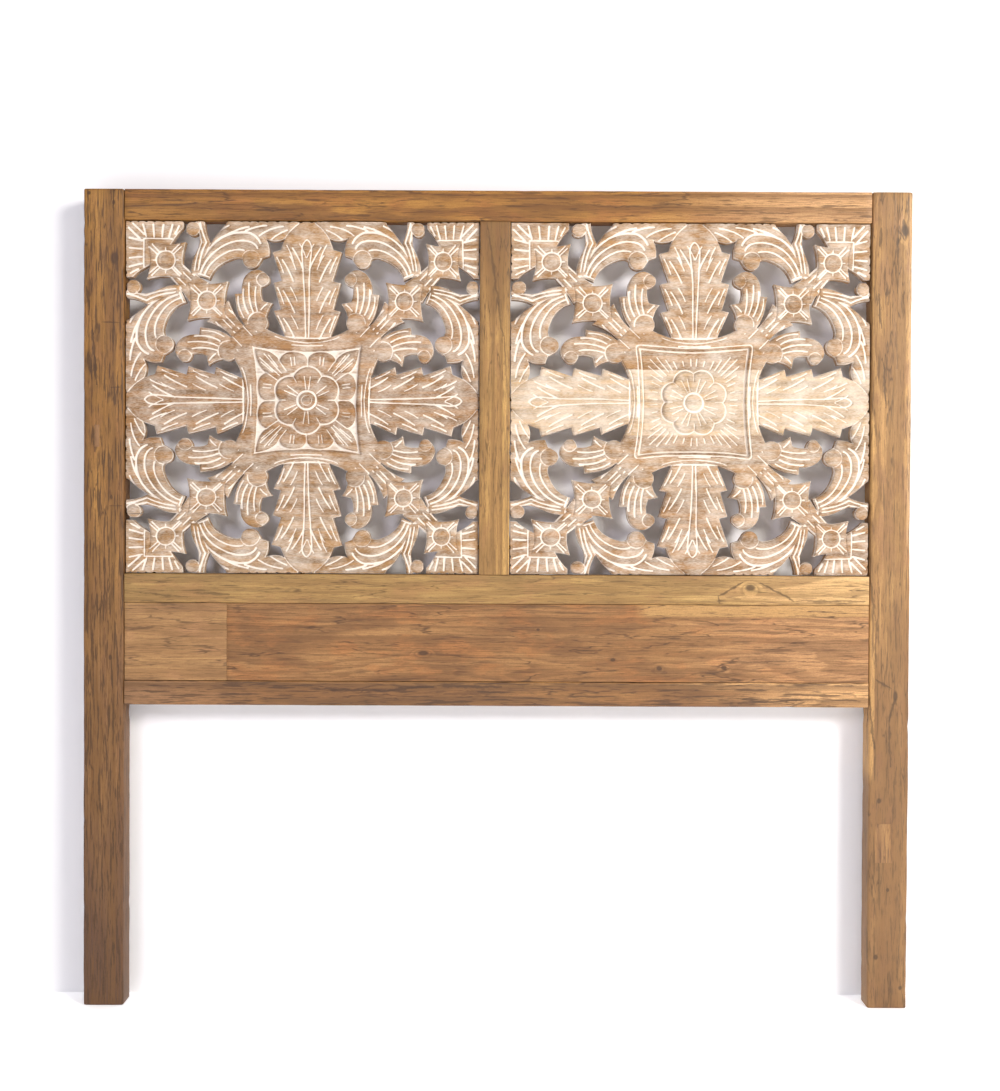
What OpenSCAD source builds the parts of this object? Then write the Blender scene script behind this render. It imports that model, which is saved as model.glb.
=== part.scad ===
/* [Overall size] */
// Width over the two posts
overall_width = 1600; // [1300:5:2000]
// Height from the floor to the top of the top rail
overall_height = 1580; // [1440:5:1900]
// Free height under the bottom rail
leg_height = 584; // [300:1:650]

/* [Frame] */
// Width of each post, seen from the front
post_width = 80; // [66:1:110]
// Depth of each post, front to back
post_depth = 50; // [48:1:80]
// Radius of the worn long edges of the posts
post_edge = 4; // [1:0.5:6]
// Height of the top rail
top_rail_height = 60; // [48:1:100]
// Height of the rail under the carvings
middle_rail_height = 57; // [48:1:90]
// Height of the lowest rail
bottom_rail_height = 48; // [44:1:90]
// Depth of the rails and the stile, front to back
rail_depth = 42; // [38:1:46]
// How far the rails stand behind the front of the posts
rail_setback = 1; // [0.5:0.5:5]
// Width of the upright stile between the carvings
stile_width = 60; // [48:1:90]
// How far the stile stands off the middle of the headboard
stile_shift = -6; // [-20:1:20]

/* [Lower panel] */
// Visible height of the plain panel between the two lower rails
lower_panel_height = 150; // [100:1:220]
// Visible width of the short board at the left end
short_board_width = 198; // [120:1:400]
// Thickness of the two boards
lower_board_thickness = 22; // [18:1:24]
// How far the boards stand behind the front of the rails
lower_board_setback = 1.5; // [0.5:0.5:4]
// Depth of the tongue round the two boards
tongue_depth = 10; // [6:0.5:12]
// Thickness of the tongue
tongue_thickness = 8; // [6:0.5:9]

/* [Carved panels] */
// Greatest thickness of the carved boards
carving_thickness = 24; // [20:1:28]
// Height of the knobs and discs above the ground of the carving
carving_relief = 6; // [4:0.5:7]
// How far the leaves stay below the knobs
leaf_drop = 1.5; // [0.5:0.5:2]
// How far the carvings stand behind the front of the rails
carving_setback = 4; // [2:0.5:6]
// Gap between a carving and the frame round it
carving_gap = 1; // [0.5:0.25:2]
// Radius that the fret saw leaves in inner corners
saw_radius = 1.5; // [0.5:0.5:2]

/* [Joints] */
// Length of the tenons in the posts
tenon_length = 50; // [40:1:60]
// Thickness of all tenons
tenon_thickness = 14; // [10:1:16]
// Shoulder above and below a rail tenon, and beside a stile tenon
tenon_shoulder = 8; // [6:1:10]
// Length of the stile tenons in the rails
stile_tenon_length = 28; // [20:1:34]
// Clearance on each side of a tenon, tongue, peg or dowel
joint_clearance = 0.1; // [0.05:0.05:0.3]
// Diameter of the pegs through the tenons
peg_diameter = 10; // [8:0.5:12]
// Diameter of the dowels that hold the carvings
dowel_diameter = 8; // [6:0.5:9]
// Length of the dowels
dowel_length = 32; // [26:1:40]

/* [Repairs] */
// Size of the slim plug let into the left post, across, deep, up
plug_size = [9.6, 8, 42.4];
// Size of the patch let into the right leg, across, deep, up
patch_size = [33, 8, 75.6];

/* [Hidden] */
$fn = 48;

// heights
top_rail_z = overall_height - top_rail_height;
bottom_rail_z = leg_height;
lower_panel_z = bottom_rail_z + bottom_rail_height;
middle_rail_z = lower_panel_z + lower_panel_height;
carving_z = middle_rail_z + middle_rail_height;
carving_height = top_rail_z - carving_z;

// widths
post_inner_x = overall_width / 2 - post_width;
inner_width = 2 * post_inner_x;
stile_left_x = stile_shift - stile_width / 2;
stile_right_x = stile_shift + stile_width / 2;
board_joint_x = short_board_width - post_inner_x;

// depths, front to back
post_front_y = -post_depth / 2;
post_back_y = post_depth / 2;
rail_front_y = post_front_y + rail_setback;
rail_back_y = rail_front_y + rail_depth;
tenon_y = rail_front_y + rail_depth / 2;
board_front_y = rail_front_y + lower_board_setback;
board_y = board_front_y + lower_board_thickness / 2;
carving_front_y = rail_front_y + carving_setback;
carving_back_y = carving_front_y + carving_thickness;
ground_thickness = carving_thickness - carving_relief;
leaf_relief = carving_relief - leaf_drop;
petal_relief = leaf_relief / 2;
dowel_y = carving_back_y - ground_thickness / 2;

// joints
bore_spare = 1;
spline_size = [24, 6];
peg_blind = 6;
stile_tenon_width = stile_width - 2 * tenon_shoulder;
plug_x = -overall_width / 2 + 22.6 + plug_size.x / 2;
plug_z = 0.7 * overall_height - 2;
patch_x = post_inner_x + 15 + patch_size.x / 2;
patch_z = 0.55 * leg_height;

// the carved motif is drawn once, for one eighth of a square of this half width
motif_half = 342.5;
// the rosette sits a little off the middle of the panel
motif_shift = [8.5, -5];
curve_steps = 4;
button_step = 3;
// dowels up the sides and along the top and bottom of a panel, in the motif's own units
side_dowels = [290, 100, 0, -120, -290];
edge_dowels = [-290, 0, 290];
// joints between the carved boards, as fractions of the panel's height from its top
left_cuts = [0.227, 0.429, 0.631, 0.832];
right_cuts = [0.224, 0.415, 0.602, 0.79];
board_count = 5;

// [z, height] of the three rails
rails = [[top_rail_z, top_rail_height], [middle_rail_z, middle_rail_height],
         [bottom_rail_z, bottom_rail_height]];

// [x middle, width] of the two openings
left_opening = [(stile_left_x - post_inner_x) / 2, stile_left_x + post_inner_x];
right_opening = [(stile_right_x + post_inner_x) / 2, post_inner_x - stile_right_x];

frame_nodes = [
    "left_post", "right_post", "top_rail", "middle_rail", "bottom_rail", "centre_stile",
    "lower_board_short", "lower_board_long", "lower_board_spline", "post_tenon_pegs",
    "stile_tenon_pegs", "left_carving_dowels", "right_carving_dowels", "left_post_plug",
    "right_leg_patch"
];

// ---- helpers ----

// a box given by its middle across and up, and by its front face
module slab(x, front_y, z, size) {
    translate([x - size.x / 2, front_y, z - size.z / 2]) cube(size);
}

// the part of a rail that enters the posts, or the mortise for it
module rail_tenon(z, height, clearance = 0, spare = 0) {
    slab(0, tenon_y - tenon_thickness / 2 - clearance, z + height / 2, [
        inner_width + 2 * (tenon_length + spare), tenon_thickness + 2 * clearance,
        height - 2 * (tenon_shoulder - clearance)
    ]);
}

module rail_solid(z, height) {
    slab(0, rail_front_y, z + height / 2, [inner_width, rail_depth, height]);
    rail_tenon(z, height);
}

// the stile's two tenons in one bar, or the mortises for them
module stile_tenons(clearance = 0, spare = 0) {
    slab(stile_shift, tenon_y - tenon_thickness / 2 - clearance, carving_z + carving_height / 2, [
        stile_tenon_width + 2 * clearance, tenon_thickness + 2 * clearance,
        carving_height + 2 * (stile_tenon_length + spare)
    ]);
}

// pegs run in from the back, through the tenon and a little past it
module peg(x, z, back_y, diameter) {
    front_y = tenon_y - tenon_thickness / 2 - peg_blind;
    translate([x, back_y, z]) rotate([90, 0, 0]) cylinder(d = diameter, h = back_y - front_y);
}

module post_pegs(clearance = 0) {
    for (rail = rails, side = [-1, 1], s = [-1, 1])
        peg(side * (post_inner_x + tenon_length / 2),
            rail[0] + rail[1] / 2 + s * (rail[1] / 2 - tenon_shoulder) / 2,
            post_back_y, peg_diameter + 2 * clearance);
}

module stile_pegs(clearance = 0) {
    for (z = [top_rail_z + stile_tenon_length / 2, carving_z - stile_tenon_length / 2])
        peg(stile_shift, z, rail_back_y, peg_diameter + 2 * clearance);
}

// the grooves for the tongues of the lower boards: along the rails, and up the posts
module lower_grooves() {
    thickness = tongue_thickness + 2 * joint_clearance;
    front_y = board_y - thickness / 2;
    middle_z = lower_panel_z + lower_panel_height / 2;
    reach = 2 * (tongue_depth + bore_spare);
    slab(0, front_y, middle_z, [inner_width, thickness, lower_panel_height + reach]);
    slab(0, front_y, middle_z, [inner_width + reach, thickness, lower_panel_height]);
}

function panel_half(opening) = [opening[1] / 2 - carving_gap, carving_height / 2 - carving_gap];

module dowel(x, z, turn, clearance) {
    length = dowel_length + (clearance > 0 ? 2 * bore_spare : 0);
    translate([x, dowel_y, z]) rotate(turn)
        cylinder(d = dowel_diameter + 2 * clearance, h = length, center = true);
}

// the dowels round one carved panel, or the bores for them
module carving_dowels(opening, clearance = 0) {
    half = panel_half(opening);
    reach = carving_gap / 2;
    middle_z = carving_z + carving_height / 2;
    for (side = [-1, 1], v = side_dowels)
        dowel(opening[0] + side * (half.x + reach), middle_z + v * half.y / motif_half, [0, 90, 0],
            clearance);
    for (side = [-1, 1], u = edge_dowels)
        dowel(opening[0] + u * half.x / motif_half, middle_z + side * (half.y + reach), 0, clearance);
}

// ---- carved motif: outlines as corners [u, v] and bends [control u, control v, u, v] ----

fan = [[342.5, 342.5], [236, 342.5], [237, 331], [248, 321, 256, 306], [262, 296], [296, 262],
       [306, 256], [321, 248, 331, 237], [342.5, 236]];
neck = [[203, 230], [222, 242], [238, 258], [258, 238], [242, 222], [230, 203]];
arm = [[100, 128], [122, 144.5], [141, 160, 152, 192], [192, 152], [160, 141, 144.5, 122], [128, 100]];
plate = [[0, 0], [0, 117.5], [45, 119, 80, 139], [96, 152], [122, 144.5], [144.5, 122], [152, 96],
         [139, 80], [119, 45, 117.5, 0]];
bud = [[118, 142], [133, 160, 137, 182], [141, 205], [127, 206], [130, 240, 108, 250],
       [90, 258, 74, 238], [76, 220, 90, 219], [92, 203, 86, 192], [67, 188], [77, 178, 80, 158],
       [86, 148]];
scroll = [[214, 242], [189, 232], [180, 264, 141, 274], [126, 277, 122, 266], [108, 256],
          [92, 262, 88, 274], [74, 279], [72, 298, 80, 311], [62, 302, 43, 311],
          [30, 330, 12, 342.5], [151, 342.5], [172, 325, 185, 304], [203, 275, 214, 242]];
hook = [[203, 243], [198, 280, 186, 303], [196, 322, 197, 342.5], [216, 342.5], [209, 318],
        [205, 303, 211, 290], [222, 268, 223, 252], [222, 243]];
leaf = [[0, 105], [44.5, 118], [45, 128], [65, 174], [51, 177], [66, 227], [50, 231], [68, 286],
        [51.5, 290], [48, 300, 44, 309], [33, 330, 10.5, 342.5], [0, 342.5]];

// inner edge of the square frame, and the twelve outer petals of the rosette
inner_plate = [[0, 0], [0, 96], [55, 97, 104, 104], [97, 55, 96, 0]];
petals = [[0, 0], [0, 83], [5, 93, 28, 93], [49, 93, 55, 78], [66, 98, 101, 101]];
inner_plate_reach = 96;
petal_reach = 90;
heart_notch = 55;
heart_tip = 64;
rosette_disc = 16;

// [u, v, radius] of the round knobs at the ends of the scrolls and buds
ball = [94.5, 148.5, 19.5];
bud_knob = [85, 233, 11.5];
scroll_knob = [108.6, 271, 16.5];
hook_knob = [220, 329, 11.5];
corner_flower = [268.5, 36];
inner_flower = [191.5, 38.5];
flower_waist = 12;
flower_disc = 16;

function end_of(mark) = len(mark) == 4 ? [mark[2], mark[3]] : mark;
function bend(a, c, b) = [
    for (i = [1 : curve_steps]) let (t = i / curve_steps)
        (1 - t) * (1 - t) * a + 2 * t * (1 - t) * c + t * t * b
];
function outline(marks) = [
    for (i = [0 : len(marks) - 1]) let (m = marks[i])
        each len(m) == 2 ? [m] : bend(end_of(marks[i - 1]), [m[0], m[1]], end_of(m))
];
function flower(c, h) = [
    [c - h, c + h], [c, c + h - flower_waist, c + h, c + h], [c + h - flower_waist, c, c + h, c - h],
    [c, c - h + flower_waist, c - h, c - h], [c - h + flower_waist, c, c - h, c + h]
];
// from the motif's eighth to its place in a panel whose half sizes are half
function placed(p, sx, sz, turned, half) = let (
        a = sx * (turned ? p.y : p.x) / motif_half,
        b = sz * (turned ? p.x : p.y) / motif_half
    ) [half.x * a + motif_shift.x * (1 - a * a), half.y * b + motif_shift.y * (1 - b * b)];

module eightfold(marks, half) {
    for (sx = [-1, 1], sz = [-1, 1], turned = [false, true])
        polygon([for (p = outline(marks)) placed(p, sx, sz, turned, half)]);
}

module knobs(knob, half) {
    for (sx = [-1, 1], sz = [-1, 1], turned = [false, true])
        translate(placed(knob, sx, sz, turned, half)) circle(r = knob[2]);
}

// ---- carved panels ----

// everything that is left of a panel between the saw cuts
module motif_outline(half) {
    for (marks = [fan, neck, arm, plate, bud, scroll, hook, leaf]) eightfold(marks, half);
    for (f = [corner_flower, inner_flower]) eightfold(flower(f[0], f[1]), half);
    for (knob = [ball, bud_knob, scroll_knob, hook_knob]) knobs(knob, half);
}

// the round heart of the rosette, with six petals
module heart() {
    translate(motif_shift)
        polygon([
            for (a = [0 : 5 : 355])
                (heart_notch + (heart_tip - heart_notch) * abs(cos(3 * (a - 90)))) * [cos(a), sin(a)]
        ]);
}

function cut_v(cuts, i, half) = half.y * (
    i == 0 ? 1 : i == board_count ? -1 : 1 - 2 * cuts[i - 1]
);

// the height of board i within its panel
module strip(cuts, i, half) {
    low = cut_v(cuts, i, half);
    translate([-half.x, low]) square([2 * half.x, cut_v(cuts, i - 1, half) - low]);
}

// the knobs, the flowers' discs and the middle of the rosette, as low buttons
module buttons(half) {
    discs = [for (f = [corner_flower, inner_flower]) [f[0], f[0], flower_disc]];
    for (knob = [ball, bud_knob, scroll_knob, hook_knob], sx = [-1, 1], sz = [-1, 1], turned = [false, true])
        button(placed(knob, sx, sz, turned, half), knob[2] - button_step);
    for (disc = discs, sx = [-1, 1], sz = [-1, 1])
        button(placed(disc, sx, sz, false, half), disc[2]);
    button(motif_shift, rosette_disc);
}

module button(p, r) {
    translate([p.x, p.y, ground_thickness - 1])
        cylinder(r1 = r, r2 = r - button_step, h = carving_relief + 1);
}

// whether board i holds any of something that reaches so far from the middle of the rosette
function holds(reach, cuts, i, half) =
    cut_v(cuts, i - 1, half) > motif_shift.y - reach && cut_v(cuts, i, half) < motif_shift.y + reach;

// one level of board i, up from the back; the saw leaves its inner corners round
module level(thickness, reach, half, cuts, i) {
    if (holds(reach, cuts, i, half))
        linear_extrude(thickness) offset(r = -saw_radius, $fn = 8) offset(delta = saw_radius)
            intersection() {
                children();
                strip(cuts, i, half);
            }
}

module carving_board(opening, cuts, i) {
    half = panel_half(opening);
    leaf_level = ground_thickness + leaf_relief;
    difference() {
        translate([opening[0], carving_back_y, carving_z + carving_height / 2]) rotate([90, 0, 0]) {
            level(leaf_level, half.y, half, cuts, i) difference() {
                motif_outline(half);
                eightfold(inner_plate, half);
            }
            level(ground_thickness, inner_plate_reach, half, cuts, i)
                offset(delta = button_step) eightfold(inner_plate, half);
            level(ground_thickness + petal_relief, petal_reach, half, cuts, i) eightfold(petals, half);
            level(leaf_level, heart_notch, half, cuts, i) heart();
            intersection() {
                buttons(half);
                linear_extrude(2 * carving_thickness) strip(cuts, i, half);
            }
        }
        carving_dowels(opening, joint_clearance);
    }
}

// ---- frame ----

module post_section() {
    square([post_width - 2 * post_edge, post_depth], center = true);
    square([post_width, post_depth - 2 * post_edge], center = true);
    for (sx = [-1, 1], sy = [-1, 1])
        translate([sx * (post_width / 2 - post_edge), sy * (post_depth / 2 - post_edge)])
            circle(r = post_edge);
}

// side is -1 at the left and 1 at the right
module post(side) {
    difference() {
        translate([side * (overall_width - post_width) / 2, 0, 0])
            linear_extrude(overall_height) post_section();
        for (rail = rails) rail_tenon(rail[0], rail[1], joint_clearance, bore_spare);
        post_pegs(joint_clearance);
        lower_grooves();
        carving_dowels(side < 0 ? left_opening : right_opening, joint_clearance);
    }
}

module left_post() {
    color("#a97d52") difference() {
        post(-1);
        plug_solid(joint_clearance);
    }
}

module right_post() {
    color("#b98c5a") difference() {
        post(1);
        patch_solid(joint_clearance);
    }
}

module plug_solid(clearance = 0) {
    grown = [2 * clearance, clearance, 2 * clearance];
    slab(plug_x, post_front_y, plug_z, plug_size + grown);
}

module left_post_plug() {
    color("#b4895c") plug_solid();
}

module patch_solid(clearance = 0) {
    grown = [2 * clearance, clearance, 2 * clearance];
    slab(patch_x, post_front_y, patch_z, patch_size + grown);
}

module right_leg_patch() {
    color("#c0935e") patch_solid();
}

module top_rail() {
    color("#b0834f") difference() {
        rail_solid(top_rail_z, top_rail_height);
        post_pegs(joint_clearance);
        stile_tenons(joint_clearance, bore_spare);
        stile_pegs(joint_clearance);
        carving_dowels(left_opening, joint_clearance);
        carving_dowels(right_opening, joint_clearance);
    }
}

module middle_rail() {
    color("#b88d57") difference() {
        rail_solid(middle_rail_z, middle_rail_height);
        post_pegs(joint_clearance);
        stile_tenons(joint_clearance, bore_spare);
        stile_pegs(joint_clearance);
        lower_grooves();
        carving_dowels(left_opening, joint_clearance);
        carving_dowels(right_opening, joint_clearance);
    }
}

module bottom_rail() {
    color("#a67748") difference() {
        rail_solid(bottom_rail_z, bottom_rail_height);
        post_pegs(joint_clearance);
        lower_grooves();
    }
}

module centre_stile() {
    color("#b58a58") difference() {
        union() {
            slab(stile_shift, rail_front_y, carving_z + carving_height / 2,
                [stile_width, rail_depth, carving_height]);
            stile_tenons();
        }
        stile_pegs(joint_clearance);
        carving_dowels(left_opening, joint_clearance);
        carving_dowels(right_opening, joint_clearance);
    }
}

// ---- plain lower panel ----

// a board from the post at one end to the joint, with tongues on its three outer edges
module lower_board(side) {
    post_x = side * post_inner_x;
    width = abs(post_x - board_joint_x) - joint_clearance;
    middle_x = post_x - side * width / 2;
    middle_z = lower_panel_z + lower_panel_height / 2;
    tongue_y = board_y - tongue_thickness / 2;
    difference() {
        union() {
            slab(middle_x, board_front_y, middle_z,
                [width, lower_board_thickness, lower_panel_height - 2 * joint_clearance]);
            slab(middle_x, tongue_y, middle_z,
                [width, tongue_thickness, lower_panel_height + 2 * tongue_depth]);
            slab(post_x, tongue_y, middle_z,
                [2 * tongue_depth, tongue_thickness, lower_panel_height - 2 * joint_clearance]);
        }
        spline_solid(joint_clearance);
    }
}

// the loose tongue in the joint between the two boards
module spline_solid(clearance = 0) {
    spare = clearance > 0 ? bore_spare : 0;
    size = [
        spline_size[0] + 2 * spare, spline_size[1] + 2 * clearance,
        lower_panel_height - 2 * tongue_depth + 2 * spare
    ];
    slab(board_joint_x, board_y - size.y / 2, lower_panel_z + lower_panel_height / 2, size);
}

module lower_board_short() {
    color("#a87d56") lower_board(-1);
}

module lower_board_long() {
    color("#a8704a") lower_board(1);
}

module lower_board_spline() {
    color("#8a6844") spline_solid();
}

module post_tenon_pegs() {
    color("#8f6b42") post_pegs();
}

module stile_tenon_pegs() {
    color("#8f6b42") stile_pegs();
}

module left_carving_dowels() {
    color("#9a7448") carving_dowels(left_opening);
}

module right_carving_dowels() {
    color("#9a7448") carving_dowels(right_opening);
}

module left_carving_board(i) {
    color("#c7a27c") carving_board(left_opening, left_cuts, i);
}

module right_carving_board(i) {
    color("#d2b084") carving_board(right_opening, right_cuts, i);
}

// ---- assembly ----

left_post();
right_post();
top_rail();
middle_rail();
bottom_rail();
centre_stile();
lower_board_short();
lower_board_long();
lower_board_spline();
post_tenon_pegs();
stile_tenon_pegs();
left_carving_dowels();
right_carving_dowels();
left_post_plug();
right_leg_patch();
for (i = [1 : board_count]) {
    left_carving_board(i);
    right_carving_board(i);
}
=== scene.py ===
import bpy
import math
from functools import partial
import numpy as np
from mathutils import Matrix, Vector, noise


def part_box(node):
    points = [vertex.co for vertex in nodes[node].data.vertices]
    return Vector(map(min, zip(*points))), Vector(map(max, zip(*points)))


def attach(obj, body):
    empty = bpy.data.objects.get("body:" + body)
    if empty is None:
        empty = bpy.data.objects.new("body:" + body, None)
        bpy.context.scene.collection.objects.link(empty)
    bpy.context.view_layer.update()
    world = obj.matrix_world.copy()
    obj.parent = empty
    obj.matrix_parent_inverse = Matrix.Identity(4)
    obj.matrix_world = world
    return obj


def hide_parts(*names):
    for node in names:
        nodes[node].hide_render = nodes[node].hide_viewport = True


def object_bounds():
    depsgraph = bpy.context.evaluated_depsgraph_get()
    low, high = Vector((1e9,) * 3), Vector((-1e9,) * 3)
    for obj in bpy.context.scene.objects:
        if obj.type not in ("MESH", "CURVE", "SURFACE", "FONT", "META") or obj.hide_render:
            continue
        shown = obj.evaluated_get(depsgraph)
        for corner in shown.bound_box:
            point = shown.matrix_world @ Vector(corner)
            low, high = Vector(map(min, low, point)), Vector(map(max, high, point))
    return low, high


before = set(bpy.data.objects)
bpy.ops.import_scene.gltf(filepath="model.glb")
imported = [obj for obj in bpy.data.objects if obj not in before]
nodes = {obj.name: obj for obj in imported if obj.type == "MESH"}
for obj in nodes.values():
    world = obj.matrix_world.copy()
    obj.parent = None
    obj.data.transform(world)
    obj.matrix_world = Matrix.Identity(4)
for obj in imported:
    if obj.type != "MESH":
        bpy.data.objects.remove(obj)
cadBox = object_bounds()
mm = 0.001
print("frame loaded")


def toLinear(hexColour):
    channels = [int(hexColour[i:i + 2], 16) / 255 for i in (1, 3, 5)]
    return [c / 12.92 if c <= 0.04045 else ((c + 0.055) / 1.055) ** 2.4 for c in channels] + [1.0]


def addNode(tree, kind, *inputs, out=0, **named):
    # kind is a node's name and, where it has one, its mode; inputs go in their order, and a
    # named one has a capital letter, while a setting of the node has none
    words = kind.split()
    node = tree.nodes.new("ShaderNode" + words[0])
    modes = {"Math": "operation", "Mix": "data_type", "MapRange": "interpolation_type"}
    if len(words) > 1:
        setattr(node, modes[words[0]], words[1])
    for name, value in named.items():
        if not name[0].isupper():
            setattr(node, name, value)
    sockets = [socket for socket in node.inputs if socket.enabled]
    wanted = list(zip(sockets, inputs))
    wanted += [(node.inputs[name.replace("_", " ")], value) for name, value in named.items() if name[0].isupper()]
    for socket, value in wanted:
        if isinstance(value, bpy.types.NodeSocket):
            tree.links.new(value, socket)
        else:
            socket.default_value = value
    if out is None:
        return node
    return node.outputs[out] if isinstance(out, str) else [s for s in node.outputs if s.enabled][out]


# the kinds of node that are used most
times, plus, minus, ratio = "Math MULTIPLY", "Math ADD", "Math SUBTRACT", "Math DIVIDE"
ramp = "MapRange SMOOTHSTEP"


def blankMaterial(name):
    material = bpy.data.materials.new(name)
    material.use_nodes = True
    material.node_tree.nodes.clear()
    return material, material.node_tree


def deselectAll():
    if bpy.context.object and bpy.context.object.mode != "OBJECT":
        bpy.ops.object.mode_set(mode="OBJECT")
    bpy.ops.object.select_all(action="DESELECT")


def enterEdit(kind, everything=False):
    # into edit mode, to pick by EDGE or FACE
    bpy.ops.object.mode_set(mode="EDIT")
    bpy.ops.mesh.select_mode(type=kind)
    if everything:
        bpy.ops.mesh.select_all(action="SELECT")


def leaveEdit():
    bpy.ops.object.mode_set(mode="OBJECT")


def unselect(*parts):
    for part in parts:
        part.foreach_set("select", np.zeros(len(part), bool))


def keepOnly(piece):
    deselectAll()
    piece.select_set(True)
    bpy.context.view_layer.objects.active = piece


def readPoints(mesh):
    points = np.zeros(len(mesh.vertices) * 3)
    mesh.vertices.foreach_get("co", points)
    return points.reshape(-1, 3)


def writePoints(mesh, points):
    mesh.vertices.foreach_set("co", np.ascontiguousarray(points, dtype=float).ravel())
    mesh.update()


def readValues(mesh, name, kind=float):
    values = np.zeros(len(mesh.vertices), kind)
    mesh.attributes[name].data.foreach_get("value", values)
    return values


def writeValues(mesh, name, values, kind="FLOAT"):
    if name not in mesh.attributes:
        mesh.attributes.new(name, kind, "POINT")
    mesh.attributes[name].data.foreach_set("value", values)


def smoothStep(x, low, high):
    t = np.clip((x - low) / (high - low), 0, 1)
    return t * t * (3 - 2 * t)


view = {
    "place": (0.0016, -2.648, 0.929),
    "turn": 0.088,      # degrees to the right
    "tilt": -0.73,      # degrees, down is negative
    "roll": 0.252,
    "lens": 48.9,       # on a sensor 36 mm wide
}


def addCamera():
    turn, tilt, roll = (math.radians(view[k]) for k in ("turn", "tilt", "roll"))
    ahead = Vector((math.sin(turn) * math.cos(tilt), math.cos(turn) * math.cos(tilt), math.sin(tilt)))
    right = Vector((math.cos(turn), -math.sin(turn), 0))
    up = right.cross(ahead)
    right, up = right * math.cos(roll) + up * math.sin(roll), up * math.cos(roll) - right * math.sin(roll)
    deselectAll()
    bpy.ops.object.camera_add()
    camera = bpy.context.object
    camera.matrix_world = Matrix.Translation(view["place"]) @ Matrix((right, up, -ahead)).transposed().to_4x4()
    camera.data.sensor_fit = "HORIZONTAL"
    camera.data.sensor_width = 36
    camera.data.lens = view["lens"]
    bpy.context.scene.camera = camera


addCamera()


studio = {
    "wallGap": 0.027,       # from the back of the posts to the backdrop
    "paint": "#fbfbfd",
    "floorSize": 14.0,
    "key": {"place": (2.75, -3.3, 2.5), "aim": (0.0, 0, 0.85), "size": 1.5, "power": 174, "colour": "#fffaf3"},
    "fill": {"place": (-1.5, -3.6, 2.3), "aim": (-0.1, 0, 0.9), "size": 1.1, "power": 43, "colour": "#f0edfb"},
    "behind": {"place": (0.6, 3.2, 2.4), "aim": (0, 0, 0.8), "size": 2.5, "power": 130, "colour": "#ffffff"},
    "sky": 0.15,
    "floorGlow": 0.42,
    "wallGlow": 0.03,
}


def paleMaterial(name, oneSided, glow):
    material, tree = blankMaterial(name)
    paint = addNode(tree, "BsdfPrincipled", Base_Color=toLinear(studio["paint"]), Roughness=0.9,
                    Emission_Color=toLinear(studio["paint"]), Emission_Strength=glow)
    if oneSided:
        # seen from behind, the backdrop gives way, so that the back of the headboard shows
        behind = addNode(tree, "NewGeometry", out="Backfacing")
        paint = addNode(tree, "MixShader", behind, paint, addNode(tree, "BsdfTransparent"))
    addNode(tree, "OutputMaterial", paint, out=None)
    return material


def addStudio():
    size = studio["floorSize"]
    wallY = cadBox[1].y + studio["wallGap"]
    deselectAll()
    bpy.ops.mesh.primitive_plane_add(size=size, location=(0, 0, 0))
    floor = bpy.context.object
    floor.name = "studioFloor"
    floor.data.materials.append(paleMaterial("pale floor paint", False, studio["floorGlow"]))
    deselectAll()
    bpy.ops.mesh.primitive_plane_add(size=1)
    wall = bpy.context.object
    wall.name = "studioWall"
    half = size / 2
    corners = [(-half, wallY, 0), (half, wallY, 0), (-half, wallY, half), (half, wallY, half)]
    writePoints(wall.data, np.array(corners))
    wall.data.materials.append(paleMaterial("pale wall paint", True, studio["wallGlow"]))
    for name in ("key", "fill", "behind"):
        lamp = studio[name]
        deselectAll()
        bpy.ops.object.light_add(type="AREA", location=lamp["place"])
        light = bpy.context.object
        light.data.shape = "DISK"
        light.data.size = lamp["size"]
        light.data.energy = lamp["power"]
        light.data.color = toLinear(lamp["colour"])[:3]
        aim = Vector(lamp["aim"]) - Vector(lamp["place"])
        light.rotation_euler = aim.to_track_quat("-Z", "Y").to_euler()
    world = bpy.data.worlds.new("soft sky")
    bpy.context.scene.world = world
    world.use_nodes = True
    world.node_tree.nodes["Background"].inputs[0].default_value = (1, 1, 1, 1)
    world.node_tree.nodes["Background"].inputs[1].default_value = studio["sky"]
    bpy.context.scene.view_settings.view_transform = "Standard"


addStudio()
print("camera and studio ready")


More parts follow.
